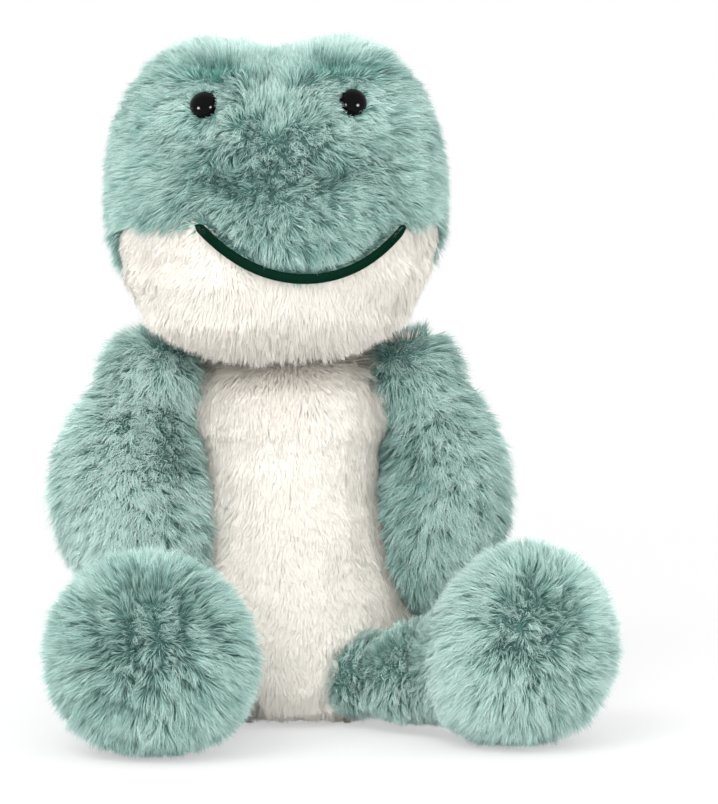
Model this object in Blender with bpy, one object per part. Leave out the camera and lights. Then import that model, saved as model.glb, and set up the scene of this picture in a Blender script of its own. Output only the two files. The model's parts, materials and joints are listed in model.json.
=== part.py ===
"""Plush frog, sitting with its legs out in front of it.

Metres, +Z up. The frog faces -Y, so its own left side is at +X. The origin is the middle of the flat
underside of its seat. Covers are shells of pile fabric, open where they are sewn to their neighbours,
round cores of fibre stuffing. Head and limbs end in a ball or a dish about their own joint.
"""

import math

import bmesh
import bpy
from mathutils import Matrix, Vector

# Fabric and clearances
PILE_WALL = 0.005
SEAM_GAP = 0.0003
FLOOR_CUT = 0.0005
CUT_REACH = 0.3

# Torso: a pear with a round neck
TORSO_HEIGHT = 0.183
TORSO_HALF_WIDTH = 0.058
TORSO_HALF_DEPTH = 0.052
NECK_RADIUS = 0.048
TORSO_SIDES = 20
SIDE_SEAM_Y = -0.008
PELLET_TOP = 0.030

# Head: a squarish egg with two brow humps and a muzzle
HEAD_HALF_WIDTH = 0.0740
HEAD_HALF_DEPTH = 0.064
HEAD_HALF_HEIGHT = 0.0650
HEAD_CENTRE = Vector((-0.0060, -0.018, 0.2330))
HEAD_YAW = math.radians(4)
HEAD_ROLL = math.radians(-1.4)
HEAD_TURN = math.radians(26)
HEAD_NOD = math.radians(8.5)
HEAD_SIDES = 22
HEAD_RINGS = 14
BROW_RISE = 0.0115
BROW_SPREAD = 0.041
BROW_WIDTH = 0.029
MUZZLE_REACH = 0.012
CHIN_SEAM_SIDE = -0.0065
CHIN_SEAM_BACK = -0.026

# Neck closing thread, in a groove round the neck
THREAD_RADIUS = 0.0011
THREAD_RING_RADIUS = 0.032
THREAD_SIDES = 6
THREAD_RING_SIDES = 24

# Safety eyes, each on a ribbed stem with a lock washer inside the face
EYE_RADIUS = 0.0058
EYE_DOME = 0.0036
EYE_SPACING = 0.0680
EYE_HEIGHT = 0.0465
EYE_SHIFT = -0.0003
EYE_SINK = 0.0014
EYE_SIDES = 12
STEM_RADIUS = 0.0017
STEM_LENGTH = 0.0125
RIB_RISE = 0.0004
RIB_PITCH = 0.0024
WASHER_RADIUS = 0.0062
WASHER_THICKNESS = 0.0014
WASHER_DEPTH = 0.0032
STEM_CLEARANCE = 0.0004

# Mouth: a bowed line of satin stitch
MOUTH_WIDTH = 0.0872
MOUTH_DROP = 0.0205
MOUTH_SHIFT = 0.0073
MOUTH_HEIGHT = -0.0075
MOUTH_SLOPE = 0.044
MOUTH_THICKNESS = 0.0036
MOUTH_POINTS = 17

# Arms
SHOULDER_RADIUS = 0.0230
RIGHT_SHOULDER_X = 0.0575
LEFT_SHOULDER_X = 0.0525
SHOULDER_Y = -0.002
SHOULDER_Z = 0.155
ARM_LENGTH = 0.100
ARM_BOW = 0.012
ARM_SIDES = 12
ARM_OPENING = 0.010
RIGHT_SHOULDER_BULGE = 0.0030
RIGHT_ARM_HALF_WIDTH = 0.0355
RIGHT_ARM_HALF_DEPTH = 0.029
RIGHT_ARM_OUT = math.radians(3.5)
RIGHT_ARM_FORWARD = math.radians(18)
LEFT_SHOULDER_BULGE = 0.0004
LEFT_ARM_HALF_WIDTH = 0.0285
LEFT_ARM_HALF_DEPTH = 0.029
LEFT_ARM_OUT = math.radians(6.5)
LEFT_ARM_FORWARD = math.radians(6)

# Legs
HIP_RADIUS = 0.0225
HIP_X = 0.032
HIP_Y = -0.031
HIP_Z = 0.0245
LEG_LENGTH = 0.087
ANKLE_RADIUS = 0.0245
FOOT_HALF_WIDTH = 0.0455
FOOT_HALF_HEIGHT = 0.0445
FOOT_HALF_DEPTH = 0.037
SOLE_SEAM = 0.019
LEG_SIDES = 16
LEG_OPENING = 0.014
RIGHT_LEG_SPLAY = math.radians(18)
LEFT_LEG_SPLAY = math.radians(52.5)
LEG_SWING = math.radians(31)
LEG_SWING_TILT = math.radians(60)

# Where the chin seam runs across the head: depth and how much of the mouth's bow, as shares, and height
CHIN_STATION_SHARES = (
    (-1.6, 1.0, MOUTH_HEIGHT),
    (-0.75, 1.0, MOUTH_HEIGHT),
    (-0.50, 0.25, CHIN_SEAM_SIDE),
    (-0.28, 0.0, CHIN_SEAM_SIDE),
    (0.12, 0.0, CHIN_SEAM_BACK),
    (1.4, 0.0, CHIN_SEAM_BACK),
)

# Colours, as linear red, green and blue
SAGE = (0.22, 0.42, 0.38)
CREAM = (0.86, 0.83, 0.76)
FIBRE = (0.90, 0.90, 0.88)
SAND = (0.62, 0.57, 0.46)
BLACK = (0.006, 0.006, 0.007)
DARK_GREEN = (0.0, 0.03, 0.014)
GREY = (0.55, 0.55, 0.55)

NECK_PIVOT = Vector((0, 0, TORSO_HEIGHT - NECK_RADIUS))
THREAD_DEPTH = THREAD_RADIUS + SEAM_GAP

# Height, half width and half depth of the pear below the neck, as shares of the torso's own sizes
TORSO_SHARES = (
    (0.000, 0.42, 0.42),
    (0.012, 0.68, 0.68),
    (0.048, 0.89, 0.88),
    (0.110, 1.00, 0.98),
    (0.210, 1.02, 1.00),
    (0.330, 0.97, 0.98),
    (0.450, 0.84, 0.92),
    (0.570, 0.745, 0.87),
    (0.670, 0.745, 0.86),
)
# Place along the arm from the shoulder, and girth, as shares of the arm's length and half width
ARM_SHARES = (
    (0.15, 0.73),
    (0.28, 0.85),
    (0.40, 0.93),
    (0.55, 1.00),
    (0.70, 1.00),
    (0.83, 0.92),
    (0.93, 0.76),
    (1.00, 0.56),
    (1.045, 0.30),
)
ARM_TIP_SHARE = 1.06
# Places across and out of the mouth's section, as shares of half its thickness
MOUTH_SECTION_SHARES = ((-1.0, -1.0), (-1.0, 0.3), (-0.62, 0.9), (0, 1.2), (0.62, 0.9), (1.0, 0.3), (1.0, -1.0))
# Turns round a joint's ball from its rear pole, as shares of a half turn
ARM_BALL_SHARES = (0.17, 0.34, 0.5, 0.58)
LEG_BALL_SHARES = (0.17, 0.34, 0.5, 0.66)
# Places along the shin, as shares of the leg's length
SHIN_SHARES = (0.30, 0.48)
# Turns round the foot's ellipse from its middle, as shares of a quarter turn
FOOT_TURN_SHARES = (-0.42, -0.22, 0.0, 0.24, 0.48, 0.72, 0.88)


def clear_scene():
    for old in list(bpy.data.objects):
        bpy.data.objects.remove(old, do_unlink=True)


def new_collection(name):
    made = bpy.data.collections.new(name)
    bpy.context.scene.collection.children.link(made)
    return made


def new_material(name, colour, roughness):
    made = bpy.data.materials.new(name)
    made.use_nodes = True
    shader = made.node_tree.nodes["Principled BSDF"]
    shader.inputs["Base Color"].default_value = (*colour, 1)
    shader.inputs["Roughness"].default_value = roughness
    return made


def face_outwards(bm):
    bmesh.ops.recalc_face_normals(bm, faces=bm.faces)
    if bm.calc_volume(signed=True) < 0:
        bmesh.ops.reverse_faces(bm, faces=bm.faces)


def new_object(name, bm, group):
    """A new object in the group, made from the mesh with its faces turned outwards."""
    face_outwards(bm)
    mesh = bpy.data.meshes.new(name)
    bm.to_mesh(mesh)
    bm.free()
    made = bpy.data.objects.new(name, mesh)
    group.objects.link(made)
    return made


def new_part(name, bm, material, pivot):
    """A visible part whose origin is the joint that it turns about."""
    bm.transform(Matrix.Translation(-pivot))
    made = new_object(name, bm, frog)
    made.location = pivot
    made.data.materials.append(material)
    made.data.shade_smooth()
    return made


def new_cutter(name, bm):
    made = new_object(name, bm, cutters)
    made.hide_render = True
    made.display_type = "WIRE"
    return made


def carve(part, *shapes, operation="DIFFERENCE"):
    for shape in shapes:
        change = part.modifiers.new(shape.name, "BOOLEAN")
        change.operation = operation
        change.object = shape


def loft(rings, first_pole, last_pole):
    """A closed skin over rings of equally many points, with a fan of faces to a pole at each end."""
    bm = bmesh.new()
    rows = [[bm.verts.new(point) for point in ring] for ring in rings]
    for low, high in zip(rows, rows[1:]):
        for i in range(len(low)):
            j = (i + 1) % len(low)
            bm.faces.new((low[i], low[j], high[j], high[i]))
    for row, pole in ((rows[0], first_pole), (rows[-1], last_pole)):
        tip = bm.verts.new(pole)
        for i in range(len(row)):
            bm.faces.new((row[i], row[(i + 1) % len(row)], tip))
    return bm


def ellipse(centre, half_x, half_y, sides):
    turns = (2 * math.pi * i / sides for i in range(sides))
    return [centre + Vector((half_x * math.cos(t), half_y * math.sin(t), 0)) for t in turns]


def sunk(bm, depth):
    """The mesh with every point moved inwards along its normal, as the inside of a wall."""
    face_outwards(bm)
    bmesh.ops.triangulate(bm, faces=bm.faces, quad_method="FIXED")
    bm.normal_update()
    moves = [(vert, vert.normal * depth) for vert in bm.verts]
    for vert, move in moves:
        vert.co -= move
    return bm


def ball_shape(name, centre, radius, gap):
    """A ball whose facets clear the radius by a gap."""
    segments = 32
    rings = segments // 2
    flat = math.cos(math.pi / segments) ** 2
    bm = bmesh.new()
    bmesh.ops.create_uvsphere(
        bm,
        u_segments=segments,
        v_segments=rings,
        radius=(radius + gap) / flat,
        matrix=Matrix.Translation(centre),
    )
    return new_cutter(name, bm)


def box_shape(name, low, high, place=Matrix.Identity(4)):
    """A box between two corners of a place."""
    bm = bmesh.new()
    spread = Matrix.Diagonal((*(high - low), 1))
    bmesh.ops.create_cube(bm, size=1, matrix=place @ Matrix.Translation((low + high) / 2) @ spread)
    return new_cutter(name, bm)


def half_space(name, axis, above, place=Matrix.Identity(4)):
    """All that lies above a height on one axis of a place."""
    low = Vector((-CUT_REACH, -CUT_REACH, -CUT_REACH))
    low[axis] = above
    return box_shape(name, low, Vector((CUT_REACH, CUT_REACH, CUT_REACH)), place)


def ring_shape(name, tube_radius, group_maker):
    """A ring round the neck, just under the skin of the dome."""
    reach = NECK_RADIUS - THREAD_DEPTH
    ring_radius = THREAD_RING_RADIUS
    height = NECK_PIVOT.z + math.sqrt(reach**2 - ring_radius**2)
    bm = bmesh.new()
    rows = []
    for i in range(THREAD_RING_SIDES):
        turn = 2 * math.pi * i / THREAD_RING_SIDES
        out = Vector((math.cos(turn), math.sin(turn), 0))
        row = []
        for j in range(THREAD_SIDES):
            round_turn = 2 * math.pi * j / THREAD_SIDES
            spot = out * (ring_radius + tube_radius * math.cos(round_turn))
            spot.z = height + tube_radius * math.sin(round_turn)
            row.append(bm.verts.new(spot))
        rows.append(row)
    for i in range(THREAD_RING_SIDES):
        low = rows[i]
        high = rows[(i + 1) % THREAD_RING_SIDES]
        for j in range(THREAD_SIDES):
            k = (j + 1) % THREAD_SIDES
            bm.faces.new((low[j], low[k], high[k], high[j]))
    return group_maker(name, bm)


def torso_form(depth):
    """The torso's pear, with its wall sunk by a depth."""
    rings = []
    for height_share, width_share, depth_share in TORSO_SHARES:
        centre = Vector((0, 0, height_share * TORSO_HEIGHT - FLOOR_CUT))
        half_width = width_share * TORSO_HALF_WIDTH
        rings.append(ellipse(centre, half_width, depth_share * TORSO_HALF_DEPTH, TORSO_SIDES))
    steps = 7
    for i in range(steps):
        turn = math.pi / 2 * i / steps
        reach = NECK_RADIUS * math.cos(turn)
        centre = NECK_PIVOT + Vector((0, 0, NECK_RADIUS * math.sin(turn)))
        rings.append(ellipse(centre, reach, reach, TORSO_SIDES))
    return sunk(loft(rings, Vector((0, 0, -FLOOR_CUT)), Vector((0, 0, TORSO_HEIGHT))), depth)


def head_place():
    turn = Matrix.Rotation(HEAD_YAW, 4, "Z") @ Matrix.Rotation(HEAD_ROLL, 4, "Y")
    return Matrix.Translation(HEAD_CENTRE) @ turn


def head_point(unit):
    """Where a point of the unit sphere lies on the head, in the head's own frame."""
    plan_power = 2.2
    side_power = 2.65 + 0.75 * unit.z
    plan = (abs(unit.x) ** plan_power + abs(unit.y) ** plan_power) ** (1 / plan_power)
    stretch = (plan**side_power + abs(unit.z) ** side_power) ** (-1 / side_power)
    x = unit.x * stretch * HEAD_HALF_WIDTH
    y = unit.y * stretch * HEAD_HALF_DEPTH
    z = unit.z * stretch * HEAD_HALF_HEIGHT
    if unit.y < 0:
        off_share = (unit.x / 0.6) ** 2 + ((unit.z + 0.3) / 0.45) ** 2
        y -= MUZZLE_REACH * math.exp(-off_share) * unit.y**2
    if unit.z > 0:
        for side in (-1, 1):
            z += BROW_RISE * math.exp(-(((x - side * BROW_SPREAD) / BROW_WIDTH) ** 2)) * unit.z**2
    return Vector((x, y, z))


def head_form(depth):
    bm = bmesh.new()
    bmesh.ops.create_uvsphere(bm, u_segments=HEAD_SIDES, v_segments=HEAD_RINGS, radius=1)
    for vert in bm.verts:
        vert.co = head_point(vert.co.normalized())
    sunk(bm, depth)
    bm.transform(head_place())
    return bm


def on_face(x, z):
    """The place on the front of the head across and up in its own frame, and the way it faces."""
    unit = Vector((x / HEAD_HALF_WIDTH, -1, z / HEAD_HALF_HEIGHT)).normalized()
    for _ in range(30):
        miss = head_point(unit)
        unit.x += (x - miss.x) / HEAD_HALF_WIDTH
        unit.z += (z - miss.z) / HEAD_HALF_HEIGHT
        unit.normalize()
    nudge_share = 0.02
    aside = head_point((unit + Vector((nudge_share, 0, 0))).normalized()) - head_point(unit)
    above = head_point((unit + Vector((0, 0, nudge_share))).normalized()) - head_point(unit)
    place = head_place()
    return place @ head_point(unit), (place.to_3x3() @ aside.cross(above)).normalized()


def facing(spot, outward):
    """A place whose +Z runs along a direction."""
    return Matrix.Translation(spot) @ outward.to_track_quat("Z", "Y").to_matrix().to_4x4()


def mouth_height(x):
    """The mouth's height in the head's frame, at a place across from its own middle."""
    share = min(1, abs(x) / (MOUTH_WIDTH / 2))
    bow_power = 2.3
    return MOUTH_HEIGHT - MOUTH_DROP * (1 - share**bow_power) - MOUTH_SLOPE * x


def chin_shape(name, raised):
    """What lies under the seam that runs along the mouth and round the cheeks."""
    steps = 16
    reach = 1.4 * HEAD_HALF_WIDTH
    floor_z = -1.5 * HEAD_HALF_HEIGHT
    rings = []
    for depth_share, bow_share, height in CHIN_STATION_SHARES:
        y = depth_share * HEAD_HALF_DEPTH
        ring = []
        for i in range(steps + 1):
            x = reach * (2 * i / steps - 1)
            bow = (mouth_height(x - MOUTH_SHIFT) - MOUTH_HEIGHT) * bow_share
            ring.append(Vector((x, y, height + bow + raised)))
        ring.append(Vector((reach, y, floor_z)))
        ring.append(Vector((-reach, y, floor_z)))
        rings.append(ring)
    ends = [Vector((0, rings[i][0].y, floor_z / 2)) for i in (0, -1)]
    bm = loft(rings, *ends)
    bm.transform(head_place())
    return new_cutter(name, bm)


def make_balls(kind, gap):
    """A ball at each shoulder and hip, clear of the limb's own ball by a gap."""
    return [
        ball_shape("right_shoulder_" + kind, shoulder(-1), SHOULDER_RADIUS, gap),
        ball_shape("left_shoulder_" + kind, shoulder(1), SHOULDER_RADIUS, gap),
        ball_shape("right_hip_" + kind, hip(-1), HIP_RADIUS, gap),
        ball_shape("left_hip_" + kind, hip(1), HIP_RADIUS, gap),
    ]


def make_torso():
    neck_groove = ring_shape("neck_groove", THREAD_RADIUS + SEAM_GAP, new_cutter)
    inside = new_cutter("torso_inside", torso_form(PILE_WALL))
    back = new_part("torso_back_panel", torso_form(0), sage, NECK_PIVOT)
    belly = new_part("torso_belly_panel", torso_form(0), cream, NECK_PIVOT)
    for panel in (back, belly):
        carve(panel, inside, neck_groove, *sockets)
        carve(panel, above_floor, operation="INTERSECT")
    carve(back, half_space("behind_side_seam", 1, SIDE_SEAM_Y), operation="INTERSECT")
    carve(belly, half_space("before_side_seam", 1, SIDE_SEAM_Y - SEAM_GAP))
    core_depth = PILE_WALL + SEAM_GAP
    stuffing = new_part("torso_stuffing", torso_form(core_depth), fibre, NECK_PIVOT)
    carve(stuffing, *sockets)
    carve(stuffing, half_space("above_pellets", 2, PELLET_TOP + SEAM_GAP), operation="INTERSECT")
    pellets = new_part("seat_pellet_bag", torso_form(core_depth), sand, NECK_PIVOT)
    carve(pellets, half_space("over_pellets", 2, PELLET_TOP), *sockets)
    ring_shape("neck_thread", THREAD_RADIUS, make_thread)


def make_thread(name, bm):
    return new_part(name, bm, cream, NECK_PIVOT)


def make_head():
    inside = new_cutter("head_inside", head_form(PILE_WALL))
    dish = ball_shape("neck_dish", NECK_PIVOT, NECK_RADIUS, SEAM_GAP)
    chin = new_part("head_chin_panel", head_form(0), cream, NECK_PIVOT)
    carve(chin, inside, dish)
    carve(chin, chin_shape("under_chin_seam", 0), operation="INTERSECT")
    over = chin_shape("over_chin_seam", SEAM_GAP)
    middle = half_space("left_of_middle", 0, SEAM_GAP / 2, head_place())
    right_of = half_space("not_right_of_middle", 0, -SEAM_GAP / 2, head_place())
    left = new_part("head_left_panel", head_form(0), sage, NECK_PIVOT)
    right = new_part("head_right_panel", head_form(0), sage, NECK_PIVOT)
    carve(left, inside, dish, over, *eye_holes(1))
    carve(right, inside, dish, over, *eye_holes(-1))
    carve(left, middle, operation="INTERSECT")
    carve(right, right_of)
    stuffing = new_part("head_stuffing", head_form(PILE_WALL + SEAM_GAP), fibre, NECK_PIVOT)
    carve(stuffing, dish, washer_room(-1), washer_room(1))


def head_rooms():
    """The head as the arms meet it, at rest and at the far ends of its turn and nod."""
    rooms = [new_cutter("head_room", head_form(-2 * SEAM_GAP))]
    for turn, nod in ((-HEAD_TURN, 0), (-HEAD_TURN, HEAD_NOD), (HEAD_TURN, HEAD_NOD)):
        bm = head_form(-SEAM_GAP)
        away = Matrix.Rotation(turn, 4, "Z") @ Matrix.Rotation(nod, 4, "X")
        bm.transform(Matrix.Translation(NECK_PIVOT) @ away @ Matrix.Translation(-NECK_PIVOT))
        rooms.append(new_cutter("turned_head_room", bm))
    return rooms


def eye_spot(side):
    """The middle of an eye's flat back, pressed into the pile, with +Z outwards."""
    spot, outward = on_face(EYE_SHIFT + side * EYE_SPACING / 2, EYE_HEIGHT)
    return facing(spot - outward * EYE_SINK, outward)


def rod_shape(name, radius, low, high, place):
    bm = bmesh.new()
    bmesh.ops.create_cone(
        bm,
        cap_ends=True,
        segments=EYE_SIDES,
        radius1=radius,
        radius2=radius,
        depth=high - low,
        matrix=place @ Matrix.Translation((0, 0, (low + high) / 2)),
    )
    return new_cutter(name, bm)


def side_name(side):
    return "left" if side > 0 else "right"


def eye_holes(side):
    """The stem's hole through the face, with the seats of the eye outside it and the washer inside."""
    name = side_name(side)
    place = eye_spot(side)
    stem_room = STEM_RADIUS + RIB_RISE + STEM_CLEARANCE
    washer_room = WASHER_RADIUS + SEAM_GAP
    return (
        rod_shape(name + "_stem_hole", stem_room, -STEM_LENGTH, PILE_WALL, place),
        rod_shape(name + "_eye_seat", EYE_RADIUS + SEAM_GAP, -SEAM_GAP, PILE_WALL, place),
        rod_shape(name + "_washer_seat", washer_room, -STEM_LENGTH, SEAM_GAP - WASHER_DEPTH, place),
    )


def washer_room(side):
    """The room in the stuffing round an eye's stem and washer."""
    radius = WASHER_RADIUS + SEAM_GAP
    name = side_name(side) + "_washer_room"
    return rod_shape(name, radius, -STEM_LENGTH - SEAM_GAP, PILE_WALL, eye_spot(side))


def turned(name, outline, material, place):
    """A part turned about +Z of a place from an outline of radii and heights that starts and ends on it."""
    rows = []
    for radius, height in outline[1:-1]:
        rows.append(ellipse(Vector((0, 0, height)), radius, radius, EYE_SIDES))
    bm = loft(rows, Vector((0, 0, outline[0][1])), Vector((0, 0, outline[-1][1])))
    bm.transform(place)
    return new_part(name, bm, material, NECK_PIVOT)


def make_eye(side):
    """A domed eye with a ribbed stem."""
    outline = [(0, EYE_DOME)]
    for share in (0.25, 0.5, 0.75, 0.95):
        turn = math.pi / 2 * share
        outline.append((EYE_RADIUS * math.sin(turn), EYE_DOME * math.cos(turn)))
    outline.append((EYE_RADIUS, 0))
    outline.append((STEM_RADIUS, 0))
    height = -WASHER_DEPTH - WASHER_THICKNESS
    while height - 2 * RIB_PITCH > -STEM_LENGTH:
        outline.append((STEM_RADIUS, height - RIB_PITCH / 2))
        outline.append((STEM_RADIUS + RIB_RISE, height - RIB_PITCH / 2))
        outline.append((STEM_RADIUS, height - RIB_PITCH))
        height -= RIB_PITCH
    outline.append((STEM_RADIUS, -STEM_LENGTH))
    outline.append((0, -STEM_LENGTH))
    return turned(side_name(side) + "_eye", outline, gloss_black, eye_spot(side))


def make_washer(side):
    """A flat ring pushed up the stem, against the inside of the face."""
    place = eye_spot(side)
    top = -WASHER_DEPTH
    bore = STEM_RADIUS + STEM_CLEARANCE
    outline = (
        (bore, top),
        (WASHER_RADIUS, top),
        (WASHER_RADIUS, top - WASHER_THICKNESS),
        (bore, top - WASHER_THICKNESS),
    )
    bm = bmesh.new()
    rows = []
    for radius, height in outline:
        ring = ellipse(Vector((0, 0, height)), radius, radius, EYE_SIDES)
        rows.append([bm.verts.new(point) for point in ring])
    for i, row in enumerate(rows):
        after = rows[(i + 1) % len(rows)]
        for j in range(EYE_SIDES):
            k = (j + 1) % EYE_SIDES
            bm.faces.new((row[j], row[k], after[k], after[j]))
    bm.transform(place)
    return new_part(side_name(side) + "_eye_washer", bm, grey, NECK_PIVOT)


def make_mouth():
    """A line of satin stitch that lies on the fabric along the chin seam, rounded at its ends."""
    rings = []
    spots = []
    for i in range(MOUTH_POINTS):
        x = MOUTH_WIDTH * (i / (MOUTH_POINTS - 1) - 0.5)
        spots.append(on_face(x + MOUTH_SHIFT, mouth_height(x)))
    half = MOUTH_THICKNESS / 2
    for i, (spot, outward) in enumerate(spots):
        along = spots[min(i + 1, MOUTH_POINTS - 1)][0] - spots[max(i - 1, 0)][0]
        across = outward.cross(along).normalized()
        end_share = 0.6 if i in (0, MOUTH_POINTS - 1) else 1.0
        ring = []
        for across_share, out_share in MOUTH_SECTION_SHARES:
            lift = outward * half * out_share * end_share
            ring.append(spot + across * half * across_share * end_share + lift)
        rings.append(ring)
    poles = []
    for near, far in ((0, 1), (-1, -2)):
        spot, outward = spots[near]
        along = (spot - spots[far][0]).normalized()
        poles.append(spot + along * half)
    mouth = new_part("mouth_stitching", loft(rings, *poles), dark_green, NECK_PIVOT)
    carve(mouth, new_cutter("face_room", head_form(-SEAM_GAP)))


def shoulder(side):
    return Vector((LEFT_SHOULDER_X if side > 0 else -RIGHT_SHOULDER_X, SHOULDER_Y, SHOULDER_Z))


def hip(side):
    return Vector((side * HIP_X, HIP_Y, HIP_Z))


def limb_place(pivot, along, across):
    """A place at a joint whose +Z runs down the limb."""
    up = along.cross(across).normalized()
    turn = Matrix((up.cross(along), up, along)).transposed()
    return Matrix.Translation(pivot) @ turn.to_4x4()


def arm_place(side):
    out = LEFT_ARM_OUT if side > 0 else RIGHT_ARM_OUT
    forward = LEFT_ARM_FORWARD if side > 0 else RIGHT_ARM_FORWARD
    down = math.cos(forward) * math.cos(out)
    along = Vector((side * math.sin(out), -math.sin(forward) * math.cos(out), -down))
    return limb_place(shoulder(side), along, Vector((side, 0, 0)))


def leg_place(side):
    splay = LEFT_LEG_SPLAY if side > 0 else RIGHT_LEG_SPLAY
    along = Vector((side * math.sin(splay), -math.cos(splay), 0))
    return limb_place(hip(side), along, Vector((0, 0, 1)).cross(along))


def leg_room(side):
    """The torso as a leg meets it at rest and at the far end of its swing, up and inwards."""
    along = leg_place(side).to_3x3().col[2]
    upright = Vector((0, 0, -side))
    level = Vector((along.y, -along.x, 0))
    axis = upright * math.cos(LEG_SWING_TILT) + level * math.sin(LEG_SWING_TILT)
    away = Matrix.Rotation(-LEG_SWING, 4, axis)
    bm = torso_form(-SEAM_GAP)
    bm.transform(Matrix.Translation(hip(side)) @ away @ Matrix.Translation(-hip(side)))
    room = new_cutter(side_name(side) + "_leg_room", bm)
    carve(room, ball_shape(side_name(side) + "_hip_core", hip(side), HIP_RADIUS, 0))
    return torso_room, room


def ball_rings(radius, sides, turn_shares, bulge):
    """The rings of a ball at a joint, from near its rear pole to just past its equator, fuller on its outer side."""
    rings = []
    for turn_share in turn_shares:
        turn = math.pi * turn_share
        reach = radius * math.sin(turn)
        shift = bulge * math.sin(turn)
        rings.append(ellipse(Vector((shift, 0, -radius * math.cos(turn))), reach + shift, reach, sides))
    return rings


def arm_form(side, depth):
    half_width = LEFT_ARM_HALF_WIDTH if side > 0 else RIGHT_ARM_HALF_WIDTH
    half_depth = LEFT_ARM_HALF_DEPTH if side > 0 else RIGHT_ARM_HALF_DEPTH
    bulge = LEFT_SHOULDER_BULGE if side > 0 else RIGHT_SHOULDER_BULGE
    rings = ball_rings(SHOULDER_RADIUS, ARM_SIDES, ARM_BALL_SHARES, bulge)
    bow_power = 0.7
    for along_share, girth_share in ARM_SHARES:
        bow = ARM_BOW * math.sin(math.pi * min(1, along_share) ** bow_power)
        centre = Vector((bow, 0, along_share * ARM_LENGTH))
        rings.append(ellipse(centre, girth_share * half_width, girth_share * half_depth, ARM_SIDES))
    tip = Vector((0, 0, ARM_TIP_SHARE * ARM_LENGTH))
    bm = sunk(loft(rings, Vector((0, 0, -SHOULDER_RADIUS)), tip), depth)
    bm.transform(arm_place(side))
    return bm


def leg_form(side, depth):
    rise = FOOT_HALF_HEIGHT - FLOOR_CUT - HIP_Z
    rings = ball_rings(HIP_RADIUS, LEG_SIDES, LEG_BALL_SHARES, 0)
    for share in SHIN_SHARES:
        centre = Vector((0, rise * share**2, share * LEG_LENGTH))
        rings.append(ellipse(centre, ANKLE_RADIUS, ANKLE_RADIUS, LEG_SIDES))
    for turn_share in FOOT_TURN_SHARES:
        turn = math.pi / 2 * turn_share
        along = LEG_LENGTH + FOOT_HALF_DEPTH * math.sin(turn)
        centre = Vector((0, rise * min(1, along / LEG_LENGTH), along))
        half_width = FOOT_HALF_WIDTH * math.cos(turn)
        rings.append(ellipse(centre, half_width, FOOT_HALF_HEIGHT * math.cos(turn), LEG_SIDES))
    tip = Vector((0, rise, LEG_LENGTH + FOOT_HALF_DEPTH))
    bm = sunk(loft(rings, Vector((0, 0, -HIP_RADIUS)), tip), depth)
    bm.transform(leg_place(side))
    return bm


def opening_shape(name, radius, ball_radius, place):
    """The hole in a limb's cover, where it is sewn to the torso."""
    return rod_shape(name, radius, -ball_radius - PILE_WALL, -ball_radius / 2, place)


def make_arm(side):
    arm = side_name(side) + "_arm"
    pivot = shoulder(side)
    cover = new_part(arm + "_cover", arm_form(side, 0), sage, pivot)
    inside = new_cutter(arm + "_inside", arm_form(side, PILE_WALL))
    opening = opening_shape(arm + "_opening", ARM_OPENING, SHOULDER_RADIUS, arm_place(side))
    carve(cover, inside, opening, *arm_rooms)
    stuffing = new_part(arm + "_stuffing", arm_form(side, PILE_WALL + SEAM_GAP), fibre, pivot)
    carve(stuffing, *arm_rooms)


def make_leg(side):
    leg = side_name(side) + "_leg"
    pivot = hip(side)
    place = leg_place(side)
    sole_height = LEG_LENGTH + SOLE_SEAM
    inside = new_cutter(leg + "_inside", leg_form(side, PILE_WALL))
    opening = opening_shape(leg + "_opening", LEG_OPENING, HIP_RADIUS, place)
    room = leg_room(side)
    cover = new_part(leg + "_cover", leg_form(side, 0), sage, pivot)
    beyond = half_space(leg + "_beyond_seam", 2, sole_height, place)
    before = half_space(leg + "_from_seam", 2, sole_height + SEAM_GAP, place)
    carve(cover, inside, opening, beyond, *room)
    carve(cover, above_floor, operation="INTERSECT")
    sole = new_part(side_name(side) + "_sole_panel", leg_form(side, 0), sage, pivot)
    carve(sole, inside)
    carve(sole, before, above_floor, operation="INTERSECT")
    stuffing = new_part(leg + "_stuffing", leg_form(side, PILE_WALL + SEAM_GAP), fibre, pivot)
    carve(stuffing, *room)


clear_scene()
frog = new_collection("plush_frog")
cutters = new_collection("cutters")
sage = new_material("sage_pile", SAGE, 0.9)
cream = new_material("cream_pile", CREAM, 0.9)
fibre = new_material("stuffing_fibre", FIBRE, 0.95)
sand = new_material("pellet_cloth", SAND, 0.8)
gloss_black = new_material("gloss_black", BLACK, 0.08)
dark_green = new_material("satin_thread", DARK_GREEN, 0.45)
grey = new_material("washer_plastic", GREY, 0.5)
above_floor = half_space("above_floor", 2, 0)
sockets = make_balls("socket", SEAM_GAP)
torso_room = new_cutter("torso_room", torso_form(-SEAM_GAP))
carve(torso_room, *make_balls("ball", 0))
arm_rooms = (torso_room, *head_rooms())
make_torso()
make_head()
for side in (-1, 1):
    make_eye(side)
    make_washer(side)
    make_arm(side)
    make_leg(side)
make_mouth()
cutters.hide_render = True
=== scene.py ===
"""Looks of the plush frog: skins under a long pile of mesh strands, glossy eyes and a satin stitched mouth.

Metres. One backing skin takes the place of each soft body's CAD nodes, and its pile is rooted on that skin.
"""

import json
import math

import bmesh
import bpy
import numpy as np
from mathutils import Matrix, Vector
from mathutils.bvhtree import BVHTree
from mathutils.kdtree import KDTree


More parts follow.
